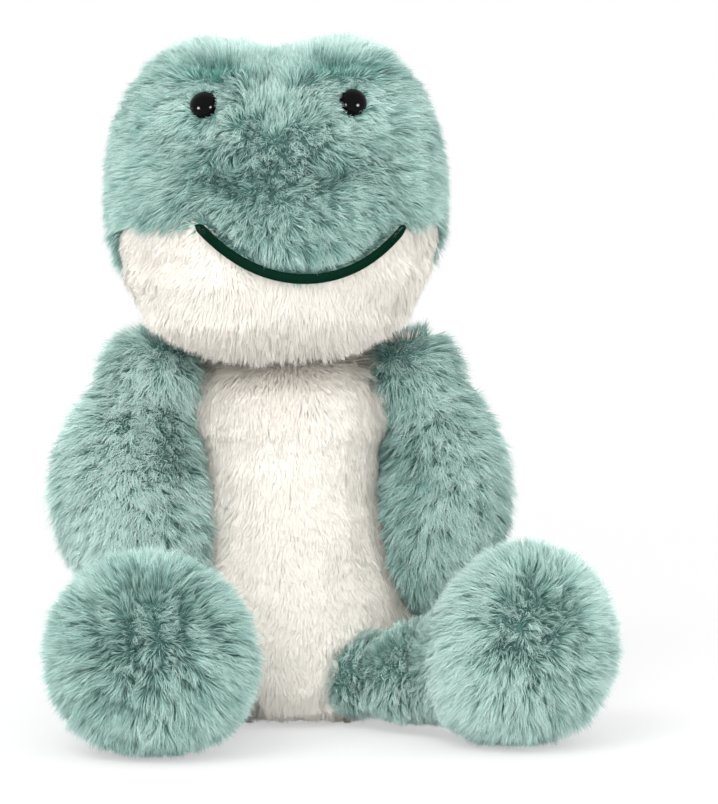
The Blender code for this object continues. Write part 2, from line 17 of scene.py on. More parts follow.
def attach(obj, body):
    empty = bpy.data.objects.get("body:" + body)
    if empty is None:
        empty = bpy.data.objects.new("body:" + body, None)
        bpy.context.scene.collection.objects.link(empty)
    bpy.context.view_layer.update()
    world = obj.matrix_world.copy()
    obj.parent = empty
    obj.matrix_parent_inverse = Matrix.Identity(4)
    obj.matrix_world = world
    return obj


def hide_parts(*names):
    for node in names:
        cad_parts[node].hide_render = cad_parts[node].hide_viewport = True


# Skins
VOXEL = 0.0026
SKIN_DEPTH = 0.0045
SKIN_ROUNDS = 10
LIMB_ROUNDS = 18
SETTLE_ROUNDS = 3
SHRINK, REGROW = 0.5, -0.53
BACKING_OVERLAP = 0.004
FLOOR_CLEARANCE = 0.0003

# Balls that fill the torso's sockets, and how far from a joint a limb can cover the torso
SHOULDER_FILL = 0.019
HIP_FILL = 0.0185
HIP_FILL_SHIFT = (0, 0.001, 0.001)
LIMB_REACH = 0.034

# Pile: strands a square millimetre, and the shape that all strands share
TORSO_STRANDS = 3.2
STRANDS = 3.3
STRAND_WIDTH = 0.00028
STRAND_TURNS = (0.0, 0.55, 1.0)
STRAND_WIDTH_SHARES = (1.0, 0.8)
STRAND_POINTS = 5
STRAND_CORNERS = (0, 1, 3, 2, 2, 3, 4)
STRAND_FACE_STARTS = (0, 4)
STRAND_SIDES = (-1, 1, 1, -1, -1, 1, 0)
STRAND_ROWS = (0, 0, 1, 1, 1, 1, 2)
LENGTH_SPREAD = (0.82, 1.12)
WIDTH_SPREAD = (0.8, 1.2)
CLUMP_LENGTH_SPREAD = 0.08
CLUMP_LENGTH_LIMITS = (0.75, 1.25)
CLUMP_TINT_SPREAD = 0.07
GATHER_POWER = 1.3
TINT_LIMITS = (0.02, 0.98)
TINT_EDGE = 0.004
TIP_EDGE = 0.01

# Lengths of the coats, and how far the pile keeps from what must show
HEAD_LENGTH = 0.0098
CHIN_LENGTH, JOWL_LENGTH = 0.0080, 0.0020
BELLY_LENGTH, NECK_LENGTH = 0.0066, 0.0050
BACK_LENGTH = 0.012
ARM_LENGTH = 0.0110
FOOT_LENGTH, SHIN_SHORTER = 0.0104, 0.0030
EYE_CLEAR = 0.0066
MOUTH_CLEAR = 0.0034
MOUTH_REACH = 0.012
NECK_CLEAR = 0.047
TORSO_TOP = 0.177
PRESSED_HEIGHT = 0.0012
LIMB_SINK = 0.0015

# Eyes: the dome over the stem, and the skin raised round it
EYE_HALF_WIDTH = 0.0062
EYE_RISE = 0.0050
EYE_PROUD = 0.0006
EYE_TURN = math.pi * 0.62
EYE_AROUND, EYE_UP = 48, 14
EYE_RIMS = ((-0.0072, 0.0024), (0.0072, 0.0050))
LID_RISE = 0.0070
LID_LENGTH = 0.0095
LID_RADII = (0.0070, 0.03, 0.0020)

# Head: places from the top of an eye's dome, inwards, backwards and upwards, and the height of the jowls
FOLD_SHIFT = (0.0043, 0.004, 0.0076)
DIMPLE_ASIDE, DIMPLE_FORWARD, DIMPLE_HEIGHT = 0.0215, 0.012, 0.2500
RIDGE_RISE = 0.0026
RIDGE_WIDTH = 0.0060
JOWL_TOP = 0.215
JOWL_FADE = 0.022
JOWL_RISE = 0.0035

# Mouth
MOUTH_SPOTS = 61
MOUTH_BINS = 12
STITCHES = 190
STITCH_HALF = 0.0021
STITCH_RISE = 0.0014
STITCH_PROUD = 0.0004
STITCH_SLANT = 0.0005
THREAD_RADIUS = 0.00036
THREAD_SIDES, THREAD_STEPS = 6, 6

# Tints of the limbs' pile, from 0 (dark) to 1 (light), and the ruffled patches on the soles. Left and right
# tints differ as painted light and shade: one side is tinted darker, as if in shadow, the other lighter
ARM_LIGHT_AND_SHADE_TINTS = {"right": 1.04, "left": 0.74}
LEG_LIGHT_AND_SHADE_TINTS = {"right": 0.50, "left": 0.72}
PATCH_SIZE = 0.009
PATCH_LEAN = 0.5

# Camera, at the photo's angle
METRES_PER_PIXEL = 0.00045
PICTURE_HEIGHT = 804
SENSOR_HEIGHT = 24.0
CAMERA_DISTANCE = 2.4
CAMERA_ELEVATION = math.radians(5.5)
CAMERA_TARGET = Vector((0.0306, 0.0, 0.1426))

# Light: the room's own, then lamps as name, place, aim, size and power. The glints show only in a gloss
WORLD_LIGHT = 0.82
LAMPS = (
    ("key", (-0.7, -1.5, 1.3), (0, 0, 0.15), 1.2, 20),
    ("front", (0.1, -2.1, 0.75), (0, 0, 0.15), 1.4, 18),
    ("fill", (1.3, -1.2, 0.7), (0, 0, 0.15), 1.0, 5),
)
GLINT_LAMPS = (
    ("glint_left", (-1.15, -1.1, 0.16), (0, 0, 0.27), 0.55, 80),
    ("glint_right", (1.15, -1.2, 0.20), (0, 0, 0.27), 0.55, 80),
)
FLOOR_FADE = (0.25, 0.9)
FLOOR_CORNERS = ((-6, -6, 0), (6, -6, 0), (6, 9, 0), (-6, 9, 0))

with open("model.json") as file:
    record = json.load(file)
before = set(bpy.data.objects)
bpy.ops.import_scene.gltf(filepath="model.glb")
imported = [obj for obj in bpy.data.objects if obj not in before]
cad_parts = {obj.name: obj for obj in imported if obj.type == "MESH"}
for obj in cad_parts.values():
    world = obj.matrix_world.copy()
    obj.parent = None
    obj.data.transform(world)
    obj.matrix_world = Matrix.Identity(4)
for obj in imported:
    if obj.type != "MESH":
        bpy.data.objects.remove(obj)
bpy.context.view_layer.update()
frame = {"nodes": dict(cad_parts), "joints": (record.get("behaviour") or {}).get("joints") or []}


# ---------------------------------------------------------------- materials

GRAIN_SCALE = 900.0
PILE_ROUGHNESS = 0.85
PILE_SPECULAR = 0.03
PILE_SHEEN = 0.03
PILE_SHEEN_ROUGHNESS = 0.6


def new_material(name, roughness, specular=0.5):
    made = bpy.data.materials.new(name)
    made.use_nodes = True
    shader = made.node_tree.nodes["Principled BSDF"]
    shader.inputs["Roughness"].default_value = roughness
    shader.inputs["Specular IOR Level"].default_value = specular
    return made, shader


def plain_material(name, colour, roughness, specular=0.5, grain=0.0):
    """A solid colour with a fine procedural grain."""
    made, shader = new_material(name, roughness, specular)
    nodes, links = made.node_tree.nodes, made.node_tree.links
    speckle = nodes.new("ShaderNodeTexNoise")
    speckle.inputs["Scale"].default_value = GRAIN_SCALE
    ramp = nodes.new("ShaderNodeValToRGB")
    for element, share in zip(ramp.color_ramp.elements, (1 - grain, 1 + grain)):
        element.color = (*(min(1, c * share) for c in colour), 1)
    links.new(speckle.outputs["Fac"], ramp.inputs["Fac"])
    links.new(ramp.outputs["Color"], shader.inputs["Base Color"])
    return made


def pile_material(name, dark_stops, light_stops):
    """Strand colours from root to tip, between a dark and a light tint, read from the strands' own map."""
    made, shader = new_material(name, PILE_ROUGHNESS, PILE_SPECULAR)
    shader.inputs["Sheen Weight"].default_value = PILE_SHEEN
    shader.inputs["Sheen Roughness"].default_value = PILE_SHEEN_ROUGHNESS
    nodes, links = made.node_tree.nodes, made.node_tree.links
    strand = nodes.new("ShaderNodeUVMap")
    strand.uv_map = "strand"
    split = nodes.new("ShaderNodeSeparateXYZ")
    links.new(strand.outputs["UV"], split.inputs["Vector"])
    ramps = []
    for stops in (dark_stops, light_stops):
        ramp = nodes.new("ShaderNodeValToRGB")
        elements = ramp.color_ramp.elements
        for element, (place, colour) in zip(elements, (stops[0], stops[-1])):
            element.position = place
            element.color = (*colour, 1)
        for place, colour in stops[1:-1]:
            elements.new(place).color = (*colour, 1)
        links.new(split.outputs["Y"], ramp.inputs["Fac"])
        ramps.append(ramp)
    mix = nodes.new("ShaderNodeMix")
    mix.data_type = "RGBA"
    links.new(split.outputs["X"], mix.inputs["Factor"])
    links.new(ramps[0].outputs["Color"], mix.inputs["A"])
    links.new(ramps[1].outputs["Color"], mix.inputs["B"])
    links.new(mix.outputs["Result"], shader.inputs["Base Color"])
    return made


# ---------------------------------------------------------------- meshes


def link(made):
    bpy.context.scene.collection.objects.link(made)
    return made


def new_piece(name, points, faces, material):
    mesh = bpy.data.meshes.new(name)
    mesh.from_pydata([tuple(p) for p in points], [], [tuple(f) for f in faces])
    mesh.update()
    mesh.materials.append(material)
    mesh.shade_smooth()
    return link(bpy.data.objects.new(name, mesh))


def arrays_of(mesh):
    """(points, triangles) of a mesh."""
    mesh.calc_loop_triangles()
    points = np.empty(len(mesh.vertices) * 3, np.float32)
    mesh.vertices.foreach_get("co", points)
    faces = np.empty(len(mesh.loop_triangles) * 3, np.int32)
    mesh.loop_triangles.foreach_get("vertices", faces)
    return points.reshape(-1, 3).astype(np.float64), faces.reshape(-1, 3)


def unit(vectors):
    return vectors / np.maximum(np.linalg.norm(vectors, axis=-1, keepdims=True), 1e-12)


def crosses(points, faces):
    """Each triangle's normal, as long as twice its area."""
    corners = points[faces]
    return np.cross(corners[:, 1] - corners[:, 0], corners[:, 2] - corners[:, 0])


def point_normals(points, faces):
    across = crosses(points, faces)
    normals = np.zeros_like(points)
    for i in range(3):
        np.add.at(normals, faces[:, i], across)
    return unit(normals)


def area_of(points, faces):
    return np.linalg.norm(crosses(points, faces), axis=1).sum() / 2


def middle_of(node):
    points, _ = arrays_of(frame["nodes"][node].data)
    return (points.max(axis=0) + points.min(axis=0)) / 2


def smoothed(points, faces, rounds):
    """The points after some rounds of shrinking towards their neighbours and growing back."""
    ends = np.concatenate([faces[:, [0, 1]], faces[:, [1, 2]], faces[:, [2, 0]]])
    ends = np.unique(np.sort(ends, axis=1), axis=0)
    count = np.bincount(ends.reshape(-1), minlength=len(points))[:, None]
    for _ in range(rounds):
        for share in (SHRINK, REGROW):
            total = np.zeros_like(points)
            np.add.at(total, ends[:, 0], points[ends[:, 1]])
            np.add.at(total, ends[:, 1], points[ends[:, 0]])
            points = points + (total / np.maximum(count, 1) - points) * share
    return points


def union_of(nodes, balls):
    """One dense closed mesh round some CAD nodes and balls, as (points, triangles)."""
    bm = bmesh.new()
    for node in nodes:
        bm.from_mesh(frame["nodes"][node].data)
    for centre, radius in balls:
        place = Matrix.Translation(Vector(centre))
        bmesh.ops.create_icosphere(bm, subdivisions=3, radius=radius, matrix=place)
    mesh = bpy.data.meshes.new("union")
    bm.to_mesh(mesh)
    bm.free()
    holder = link(bpy.data.objects.new("union", mesh))
    change = holder.modifiers.new("voxels", "REMESH")
    change.mode = "VOXEL"
    change.voxel_size = VOXEL
    graph = bpy.context.evaluated_depsgraph_get()
    dense = bpy.data.meshes.new_from_object(holder.evaluated_get(graph), depsgraph=graph)
    points, faces = arrays_of(dense)
    bpy.data.objects.remove(holder)
    return points, faces


def tree_of(nodes):
    """A tree of some CAD nodes, for the nearest place on them."""
    points, faces = [], []
    total = 0
    for node in nodes:
        p, f = arrays_of(frame["nodes"][node].data)
        points.append(p)
        faces.append(f + total)
        total += len(p)
    return BVHTree.FromPolygons(np.concatenate(points).tolist(), np.concatenate(faces).tolist())


def distances(tree, points):
    return np.array([tree.find_nearest(Vector(p))[3] for p in points])


def depths(key, points):
    """How far inside a skin each point lies, below 0 where it is outside."""
    skin_points, faces, _ = skins[key]
    tree = BVHTree.FromPolygons(skin_points.tolist(), faces.tolist())
    found = []
    for point in points:
        spot, normal, _, _ = tree.find_nearest(Vector(point))
        found.append((spot - Vector(point)).dot(normal))
    return np.array(found)


# ---------------------------------------------------------------- fields

WAVE_PARTS = 7
WAVE_HEIGHT = 0.8


def waves(points, wavelength, seed):
    """A smooth random field of the place, roughly from -1 to 1."""
    random = np.random.default_rng(seed)
    total = np.zeros(len(points))
    for _ in range(WAVE_PARTS):
        way = unit(random.normal(size=3))
        size = wavelength * random.uniform(0.7, 1.5)
        total += np.sin(points @ way * (2 * math.pi / size) + random.uniform(0, 2 * math.pi))
    return total / math.sqrt(WAVE_PARTS) * WAVE_HEIGHT


def smooth_step(value, low, high):
    share = np.clip((value - low) / (high - low), 0, 1)
    return share * share * (3 - 2 * share)


def bump(points, centre, radii):
    """A soft hill of height 1 at a centre."""
    return np.exp(-(((points - np.array(centre)) / np.array(radii)) ** 2).sum(axis=1))


def tangent(ways, normals):
    """Ways laid on the surface. What points off it is lost."""
    return ways - (ways * normals).sum(axis=1, keepdims=True) * normals


def turned(ways, side, angle):
    """Ways turned by an angle towards the side."""
    return ways * np.cos(angle)[:, None] + side * np.sin(angle)[:, None]


def mixed(first, second, share):
    """The first ways where the share is 0 and the second where it is 1."""
    return first * (1 - share) + second * share


# ---------------------------------------------------------------- pile


def scatter(points, faces, normals, count, random):
    """Random (places, normals) on a skin, evenly spread by area."""
    corners = points[faces]
    area = np.linalg.norm(crosses(points, faces), axis=1)
    picked = random.choice(len(faces), size=count, p=area / area.sum())
    a, b = random.random(count), random.random(count)
    over = a + b > 1
    a[over], b[over] = 1 - a[over], 1 - b[over]
    weights = np.stack([1 - a - b, a, b], axis=1)[:, :, None]
    roots = (corners[picked] * weights).sum(axis=1)
    out = unit((normals[faces[picked]] * weights).sum(axis=1))
    return roots, out


def nearest(centres, points):
    """The number of the centre that is nearest to each point."""
    tree = KDTree(len(centres))
    for i, centre in enumerate(centres):
        tree.insert(Vector(centre), i)
    tree.balance()
    return np.array([tree.find(Vector(p))[1] for p in points])


def strands(name, roots, out, style, material, random):
    """A mesh of tapering flat strands. The style gives each its length, comb, leans, clumping and tint."""
    count = len(roots)
    length = style["length"] * random.uniform(*LENGTH_SPREAD, count)
    root_lean, tip_lean = style["root_lean"], style["tip_lean"]
    lean_share = np.clip(np.linalg.norm(style["comb"], axis=1), 0, 1)
    comb = unit(style["comb"] + random.normal(size=(count, 3)) * 1e-4)
    clumps = max(8, min(count, int(style["area"] / style["clump"] ** 2)))
    centres = random.choice(count, size=clumps, replace=False)
    group = nearest(roots[centres], roots)
    towards = roots[centres][group] - roots
    clump_turn = random.normal(size=clumps) * style["clump_turn"]
    clump_lean = random.normal(size=clumps) * style["clump_lean"]
    clump_length = 1 + random.normal(size=clumps) * CLUMP_LENGTH_SPREAD
    clump_tint = random.normal(size=clumps) * CLUMP_TINT_SPREAD
    length = length * np.clip(clump_length[group], *CLUMP_LENGTH_LIMITS)
    angle = clump_turn[group] + random.normal(size=count) * style["stray"]
    comb = turned(comb, np.cross(out, comb), angle)
    rows = []
    place = roots.copy()
    last = 0.0
    for share in STRAND_TURNS:
        middle = (share + last) / 2
        lean = (root_lean + (tip_lean - root_lean) * middle) * lean_share
        lean = lean + clump_lean[group] * middle
        place = place + (length * (share - last))[:, None] * turned(out, comb, lean)
        row = place + towards * (style["gather"] * share**GATHER_POWER)
        row[:, 2] -= style["sag"] * share**2 * length
        row[:, 2] = np.maximum(row[:, 2], FLOOR_CLEARANCE)
        rows.append(row)
        last = share
    facing = out + random.normal(size=(count, 3)) * style["facing"]
    across = unit(np.cross(rows[2] - rows[0], facing))
    width = STRAND_WIDTH * style["width"] * random.uniform(*WIDTH_SPREAD, count)[:, None] / 2
    columns = []
    for row, share in zip(rows[:2], STRAND_WIDTH_SHARES):
        columns.append(row - across * width * share)
        columns.append(row + across * width * share)
    columns.append(rows[2])
    tint = style["tint"] + clump_tint[group] + random.normal(size=count) * style["speckle"]
    tint = np.clip(tint, *TINT_LIMITS)
    return strand_piece(name, np.stack(columns, axis=1).reshape(-1, 3), tint, material)


def strand_piece(name, points, tint, material):
    """The strands' mesh. Its map holds the tint in u and the way from root to tip in v."""
    count = len(tint)
    per_strand = np.arange(count)[:, None]
    corners = (np.array(STRAND_CORNERS)[None, :] + per_strand * STRAND_POINTS).reshape(-1)
    starts = (np.array(STRAND_FACE_STARTS)[None, :] + per_strand * len(STRAND_CORNERS)).reshape(-1)
    u = tint[:, None] + TINT_EDGE * np.array(STRAND_SIDES)[None, :]
    v_share = np.array(STRAND_TURNS)[list(STRAND_ROWS)]
    v = np.broadcast_to(TIP_EDGE + (1 - 2 * TIP_EDGE) * v_share[None, :], u.shape)
    coordinates = np.stack([u, v], axis=2).reshape(-1).astype(np.float32)
    mesh = bpy.data.meshes.new(name)
    mesh.vertices.add(count * STRAND_POINTS)
    mesh.vertices.foreach_set("co", points.astype(np.float32).reshape(-1))
    mesh.loops.add(len(corners))
    mesh.loops.foreach_set("vertex_index", corners.astype(np.int32))
    mesh.polygons.add(len(starts))
    mesh.polygons.foreach_set("loop_start", starts.astype(np.int32))
    for layer in ("OFBake", "strand"):
        mesh.uv_layers.new(name=layer).data.foreach_set("uv", coordinates)
    mesh.update(calc_edges=True)
    mesh.materials.append(material)
    mesh.shade_smooth()
    return link(bpy.data.objects.new(name, mesh))


# ---------------------------------------------------------------- colours

SAGE_DARK = (
    (0.0, (0.020, 0.095, 0.078)),
    (0.35, (0.050, 0.185, 0.158)),
    (0.75, (0.095, 0.285, 0.245)),
    (1.0, (0.150, 0.400, 0.350)),
)
SAGE_LIGHT = (
    (0.0, (0.21, 0.41, 0.365)),
    (0.35, (0.43, 0.65, 0.60)),
    (0.75, (0.62, 0.795, 0.745)),
    (1.0, (0.79, 0.915, 0.875)),
)
CREAM_DARK = ((0.0, (0.78, 0.735, 0.66)), (0.4, (0.78, 0.74, 0.675)), (1.0, (0.78, 0.745, 0.685)))
CREAM_LIGHT = ((0.0, (0.81, 0.77, 0.70)), (0.4, (0.81, 0.775, 0.715)), (1.0, (0.815, 0.785, 0.73)))

sage_pile = pile_material("sage_pile_strands", SAGE_DARK, SAGE_LIGHT)
cream_pile = pile_material("cream_pile_strands", CREAM_DARK, CREAM_LIGHT)
sage_backing = plain_material("sage_backing", (0.11, 0.235, 0.215), 0.9, 0.2, 0.25)
cream_backing = plain_material("cream_backing", (0.80, 0.76, 0.69), 0.9, 0.2, 0.03)
eye_gloss = plain_material("eye_gloss", (0.002, 0.002, 0.002), 0.06, 0.07)
mouth_satin = plain_material("mouth_satin", (0.0005, 0.016, 0.008), 0.8, 0.02, 0.4)
thread_cotton = plain_material("thread_cotton", (0.07, 0.20, 0.17), 0.8, 0.3, 0.1)
washer_plastic = plain_material("washer_grey", (0.45, 0.45, 0.45), 0.5, 0.4, 0.05)

# ---------------------------------------------------------------- eyes


def eye_axis(side):
    """The top of an eye's dome and the way it faces."""
    points, _ = arrays_of(frame["nodes"][side + "_eye"].data)
    washer = middle_of(side + "_eye_washer")
    stem_end = points[np.argmax(np.linalg.norm(points - washer, axis=1))]
    way = unit(washer - stem_end)
    return points[np.argmax(points @ way)], way


eyes = {side: eye_axis(side) for side in ("left", "right")}
face_middle_x = (eyes["left"][0][0] + eyes["right"][0][0]) / 2
inwards = {"left": -1, "right": 1}
folds, dimples = {}, {}
for side, (top, _) in eyes.items():
    folds[side] = top + np.array((inwards[side] * FOLD_SHIFT[0], *FOLD_SHIFT[1:]))
    aside = face_middle_x - inwards[side] * DIMPLE_ASIDE
    dimples[side] = np.array((aside, top[1] - DIMPLE_FORWARD, DIMPLE_HEIGHT))


def make_eye(side):
    top, way = eyes[side]
    turn_to_way = Vector(way).to_track_quat("Z", "Y").to_matrix().to_4x4()
    place = Matrix.Translation(Vector(top)) @ turn_to_way
    points, faces = [], []
    for i in range(EYE_UP + 1):
        turn = EYE_TURN * i / EYE_UP
        reach = EYE_HALF_WIDTH * math.sin(turn)
        height = EYE_RISE * (math.cos(turn) - 1) + EYE_PROUD
        for j in range(EYE_AROUND):
            spin = 2 * math.pi * j / EYE_AROUND
            points.append(place @ Vector((reach * math.cos(spin), reach * math.sin(spin), height)))
    for i in range(EYE_UP):
        low, high = i * EYE_AROUND, (i + 1) * EYE_AROUND
        for j in range(EYE_AROUND):
            k = (j + 1) % EYE_AROUND
            faces.append((low + j, high + j, high + k, low + k))
    faces.append(tuple(range(EYE_UP * EYE_AROUND, (EYE_UP + 1) * EYE_AROUND))[::-1])
    made = new_piece(side + "_eye_dome", points, faces, eye_gloss)
    bm = bmesh.new()
    bm.from_mesh(made.data)
    bmesh.ops.remove_doubles(bm, verts=bm.verts, dist=1e-6)
    bmesh.ops.recalc_face_normals(bm, faces=bm.faces)
    bm.to_mesh(made.data)
    bm.free()
    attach(made, "head")
    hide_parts(side + "_eye")


# ---------------------------------------------------------------- skins


def skin(name, body, nodes, material, sculpt=None, rounds=SKIN_ROUNDS, balls=()):
    """A soft body's backing, sunk below the CAD skin to make room for its pile.

    Returns (points, triangles, normals).
    """
    points, faces = union_of(nodes, balls)
    points = smoothed(points, faces, rounds)
    points = points - point_normals(points, faces) * SKIN_DEPTH
    points = smoothed(points, faces, SETTLE_ROUNDS)
    if sculpt:
        points = sculpt(points, point_normals(points, faces))
    points[:, 2] = np.maximum(points[:, 2], FLOOR_CLEARANCE)
    made = new_piece(name, points, faces, material)
    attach(made, body)
    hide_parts(*nodes)
    return points, faces, point_normals(points, faces)


head_middle = middle_of("head_stuffing")
mouth_points, _ = arrays_of(frame["nodes"]["mouth_stitching"].data)


def mouth_line():
    """The stitched line's height and depth as smooth functions of the place across."""
    x = mouth_points[:, 0]
    middle, half = (x.max() + x.min()) / 2, (x.max() - x.min()) / 2
    share = (x - middle) / half
    fit = np.polynomial.polynomial.Polynomial.fit
    height = fit(share, mouth_points[:, 2], 6, domain=[-1, 1])
    bins = np.round(share * MOUTH_BINS).astype(int)
    front = [(b / MOUTH_BINS, mouth_points[bins == b, 1].min()) for b in np.unique(bins)]
    front = np.array(front)
    depth = fit(front[:, 0], front[:, 1], 4, domain=[-1, 1])
    return middle, half, height, depth


MOUTH_MIDDLE, MOUTH_HALF, mouth_height, mouth_depth = mouth_line()
VALLEY = (face_middle_x, -0.06, 0.303)


def mouth_spots(count):
    """Places evenly along the mouth, from one corner to the other."""
    share = np.linspace(-1, 1, count)
    across = MOUTH_MIDDLE + share * MOUTH_HALF
    return np.stack([across, mouth_depth(share), mouth_height(share)], axis=1)


def from_mouth(points):
    """The way from the nearest place on the mouth to each point."""
    spots = mouth_spots(MOUTH_SPOTS)
    return points - spots[nearest(spots, points)]


def sculpt_head(points, normals):
    """Brow folds over the eyes, a muzzle, two pulled dimples and a ridge along the mouth."""
    move = np.zeros(len(points))

    def hill(height, spot, shift, radii):
        """Raises the skin, or sinks it where the height is below 0, near a spot."""
        move[:] += height * bump(points, np.array(spot) + np.array(shift), radii)

    for side, (top, _) in eyes.items():
        hill(-0.0080, folds[side], (0, 0, 0.0045), (0.0120, 0.020, 0.0032))
        hill(0.0045, folds[side], (0, 0.002, 0.0145), (0.016, 0.022, 0.008))
        hill(0.0042, top, (0, 0, 0), (0.0095, 0.020, 0.0080))
        for rise, height in EYE_RIMS:
            hill(height, top, (0, 0, rise), (0.0080, 0.020, 0.0028))
        hill(-0.0070, dimples[side], (0, 0, 0), (0.0060, 0.030, 0.0050))
        cheek = (face_middle_x - inwards[side] * 0.045, top[1], 0.240)
        hill(0.0015, cheek, (0, 0, 0), (0.018, 0.03, 0.014))
    hill(0.0035, (face_middle_x, -0.085, 0.238), (0, 0, 0), (0.034, 0.04, 0.016))
    hill(-0.0045, VALLEY, (0, 0, 0), (0.011, 0.05, 0.030))
    gap = np.linalg.norm(from_mouth(points), axis=1)
    move += RIDGE_RISE * np.exp(-((gap / RIDGE_WIDTH) ** 2))
    front = smooth_step(-points[:, 1], 0.02, 0.05)
    jowl = smooth_step(JOWL_TOP - points[:, 2], 0, JOWL_FADE)
    return points + normals * (move * front + JOWL_RISE * jowl)[:, None]


def two_coloured(name, cream_nodes, sage_nodes, margin):
    """A backing that is cream under the cream panel, short of its edge by a margin, and sage elsewhere."""
    mesh = bpy.data.objects[name].data
    cream_tree, sage_tree = tree_of(cream_nodes), tree_of(sage_nodes)
    mesh.materials.clear()
    mesh.materials.append(sage_backing)
    mesh.materials.append(cream_backing)
    for face in mesh.polygons:
        cream_gap = cream_tree.find_nearest(face.center)[3]
        sage_gap = sage_tree.find_nearest(face.center)[3]
        face.material_index = int(cream_gap + margin < sage_gap)


def joint_spot(name):
    """Where a joint turns, in the shared frame."""
    return np.array([j["pos_m"] for j in frame["joints"] if j["name"] == name][0])


def joint_balls():
    """Balls that fill the torso's sockets, so that the limbs grow out of one soft body."""
    balls = []
    for side in eyes:
        balls.append((joint_spot(side + "_arm_lift"), SHOULDER_FILL))
        balls.append((joint_spot(side + "_leg_swing") + np.array(HIP_FILL_SHIFT), HIP_FILL))
    return balls


HEAD_NODES = ("head_left_panel", "head_right_panel", "head_chin_panel", "head_stuffing")
TORSO_NODES = ("torso_back_panel", "torso_belly_panel", "torso_stuffing", "seat_pellet_bag")
CROWN_NODES = ("head_left_panel", "head_right_panel")
skins = {
    "head": skin("head_backing", "head", HEAD_NODES, sage_backing, sculpt_head),
    "torso": skin(
        "torso_backing", "torso", TORSO_NODES, cream_backing, balls=joint_balls()
    ),
}
two_coloured("head_backing", ("head_chin_panel",), CROWN_NODES, BACKING_OVERLAP)
two_coloured("torso_backing", ("torso_belly_panel",), ("torso_back_panel",), 0)
for side in eyes:
    arm, leg = side + "_arm", side + "_leg"
    arm_nodes = (arm + "_cover", arm + "_stuffing")
    leg_nodes = (leg + "_cover", side + "_sole_panel", leg + "_stuffing")
    skins[arm] = skin(arm + "_backing", arm, arm_nodes, sage_backing, rounds=LIMB_ROUNDS)
    skins[leg] = skin(leg + "_backing", leg, leg_nodes, sage_backing, rounds=LIMB_ROUNDS)

# ---------------------------------------------------------------- styles

CHIN_TREE = tree_of(("head_chin_panel",))
CROWN_TREE = tree_of(CROWN_NODES)
BELLY_TREE = tree_of(("torso_belly_panel",))
BACK_TREE = tree_of(("torso_back_panel",))
DENSITY = 1.0
CREAM_COAT = {"clump": 0.0022, "width": 1.9, "speckle": 0.02, "facing": 0.08}


def swirled(comb, normals, roots, wavelength, amount, seed):
    """The comb turned on the surface by a smooth random angle."""
    return turned(comb, np.cross(normals, comb), waves(roots, wavelength, seed) * amount)


def style_of(roots, ways, **given):
    """How a coat's strands look.

    Length and clump size in metres, leans and turns in radians, the area in square metres. The rest are
    shares: the gather draws tips to the middle of their clump, the sag lets them hang, the speckle spreads
    the tint and the facing spreads which way the flat side looks. Shorter ways lie less far down.
    """
    style = {
        "length": np.full(len(roots), 0.012),
        "root_lean": math.radians(12),
        "tip_lean": math.radians(70),
        "clump": 0.0032,
        "clump_turn": 0.35,
        "clump_lean": 0.16,
        "stray": 0.34,
        "gather": 0.42,
        "sag": 0.05,
        "width": 1.0,
        "speckle": 0.14,
        "facing": 0.3,
        "tint": np.full(len(roots), 0.45),
        "area": 0.05,
    }
    style.update(given)
    style["comb"] = ways
    return style


def rooted(key, per_square_mm, seed):
    """(roots, normals, random draws) for the strands on a skin."""
    points, faces, normals = skins[key]
    count = int(area_of(points, faces) * 1e6 * per_square_mm * DENSITY)
    random = np.random.default_rng(seed)
    roots, out = scatter(points, faces, normals, count, random)
    return roots, out, random


def rests(roots, out):
    """Whether a root lies on the floor side, where the pile is pressed flat."""
    return (roots[:, 2] < PRESSED_HEIGHT) & (out[:, 2] < -0.5)


def add_pile(name, body, roots, out, style, material, random):
    made = strands(name, roots, out, style, material, random)
    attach(made, body)


def lid_share(roots, top):
    """1 for the pile that hangs over the top of an eye."""
    return bump(roots, top + np.array((0, 0, LID_RISE)), LID_RADII)


def rise_share(roots):
    """1 where the sage pile is combed upwards: over the brows and in the middle of the forehead."""
    fold_z = folds["left"][2]
    share = smooth_step(roots[:, 2], fold_z + 0.001, fold_z + 0.012)
    centre = np.exp(-(((roots[:, 0] - face_middle_x) / 0.017) ** 2))
    share = np.maximum(share, centre * smooth_step(roots[:, 2], fold_z - 0.030, fold_z - 0.012))[:, None]
    ragged = 0.35 * waves(roots, 0.012, 35)[:, None] * (share > 0) * (share < 1)
    return np.clip(share + ragged, 0, 1)


